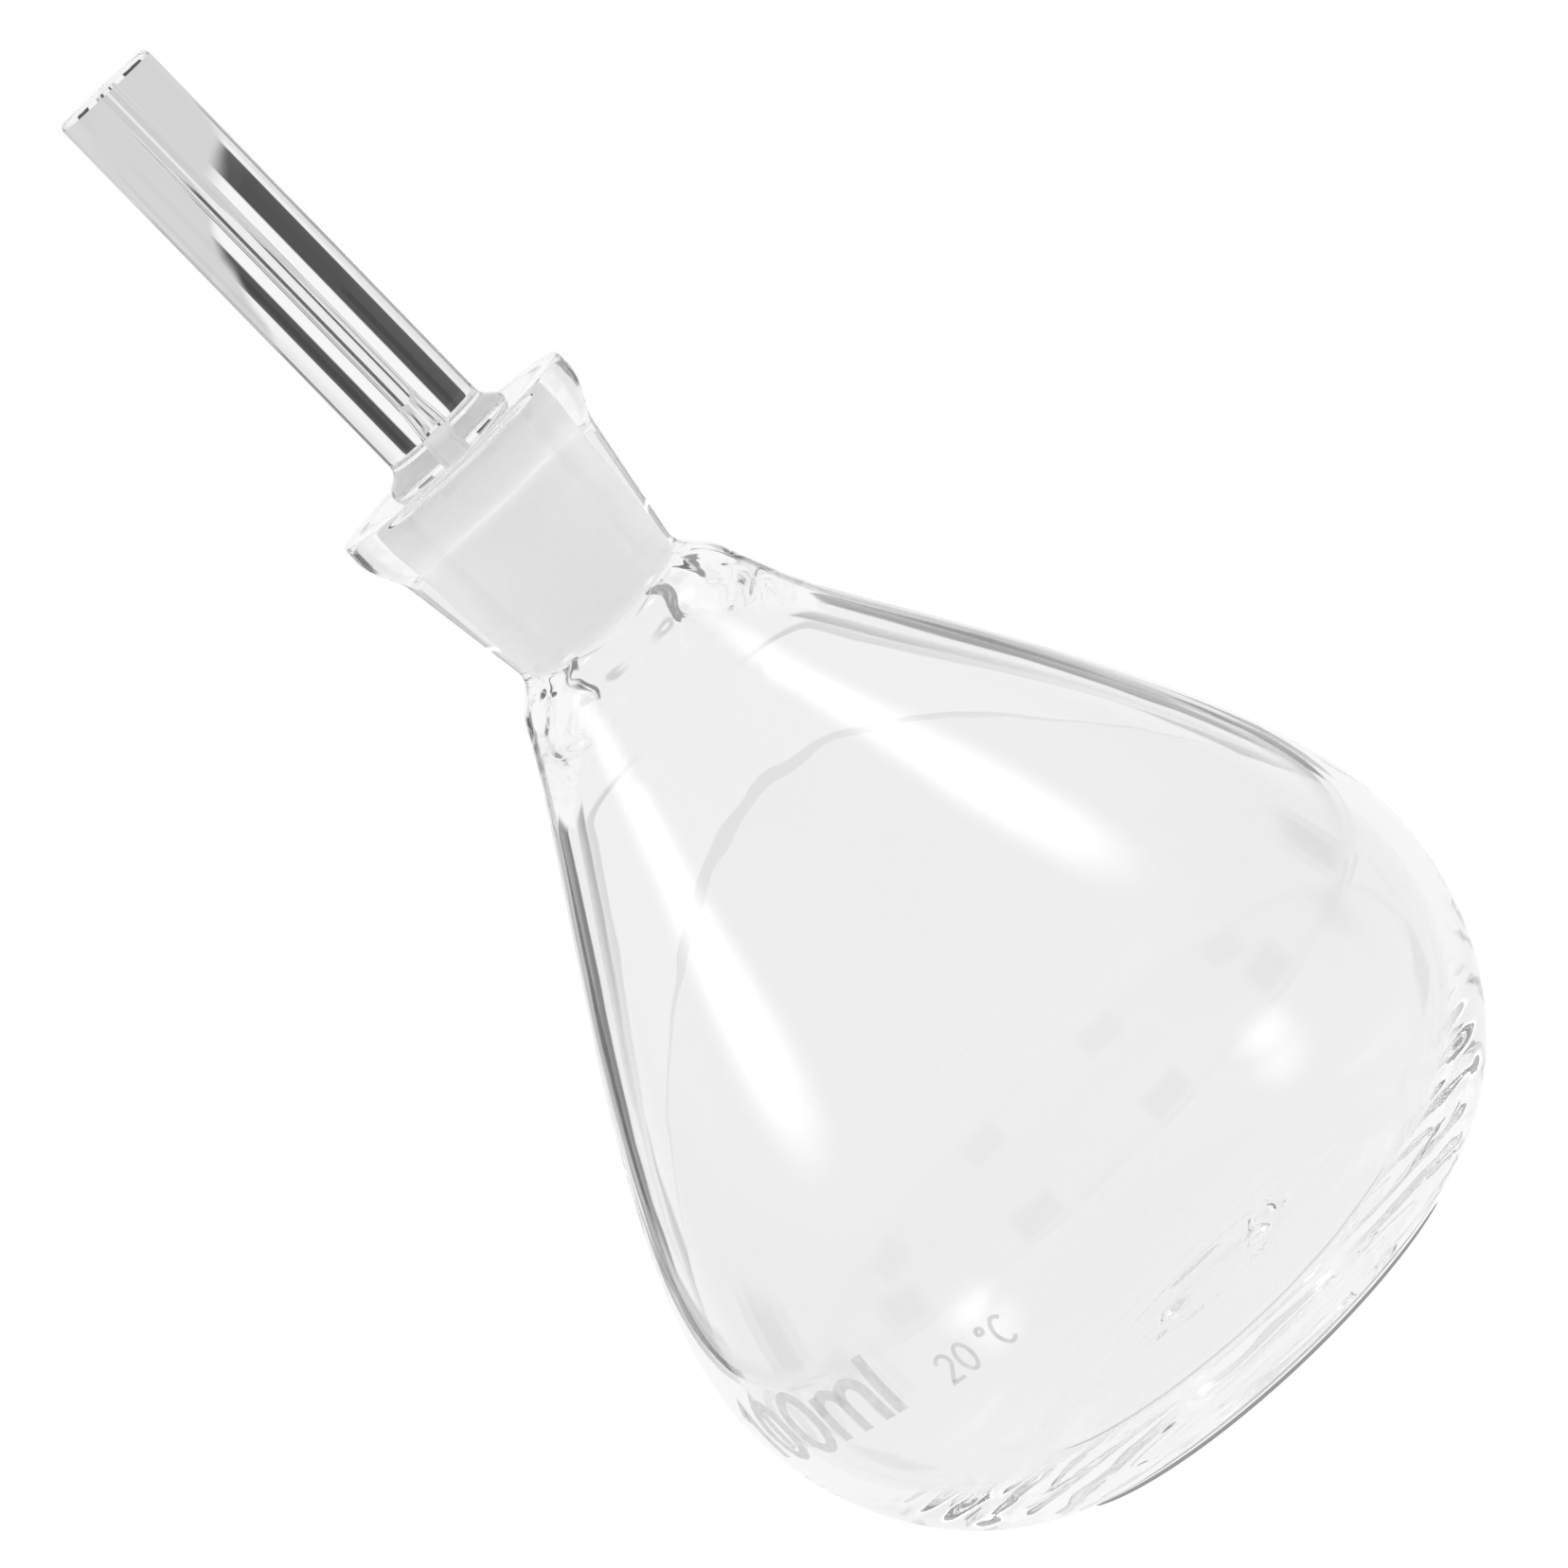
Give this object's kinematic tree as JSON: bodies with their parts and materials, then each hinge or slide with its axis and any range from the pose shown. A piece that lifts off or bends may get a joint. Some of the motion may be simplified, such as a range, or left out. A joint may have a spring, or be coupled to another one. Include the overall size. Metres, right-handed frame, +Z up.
{
  "type": "density bottle with capillary stopper",
  "caption": "Clear pear-shaped density bottle with a ground conical neck and a ground-in stopper whose long stem holds a capillary.",
  "frame": {"origin": "centre of the foot ring, on the surface that the bottle stands on", "axes": "+Z up along the bottle's axis, towards the stopper; +X and +Y are any two square directions, because the solids are round"},
  "size_m": [0.0622, 0.0622, 0.1171],
  "materials": {
    "bottle_glass": "clear polished borosilicate glass, with a ground socket in the neck and a faded grey volume marking",
    "stopper_glass": "clear polished borosilicate glass, with a ground cone"
  },
  "bodies": {
    "bottle": {"bottle": "bottle_glass"},
    "stopper": {"capillary_stopper": "stopper_glass"}
  },
  "joints": [
    {"name": "stopper_lift", "type": "slide", "parent": "bottle", "child": "stopper", "axis": [0, 0, 1], "range_m": [0, 0.035]}
  ]
}
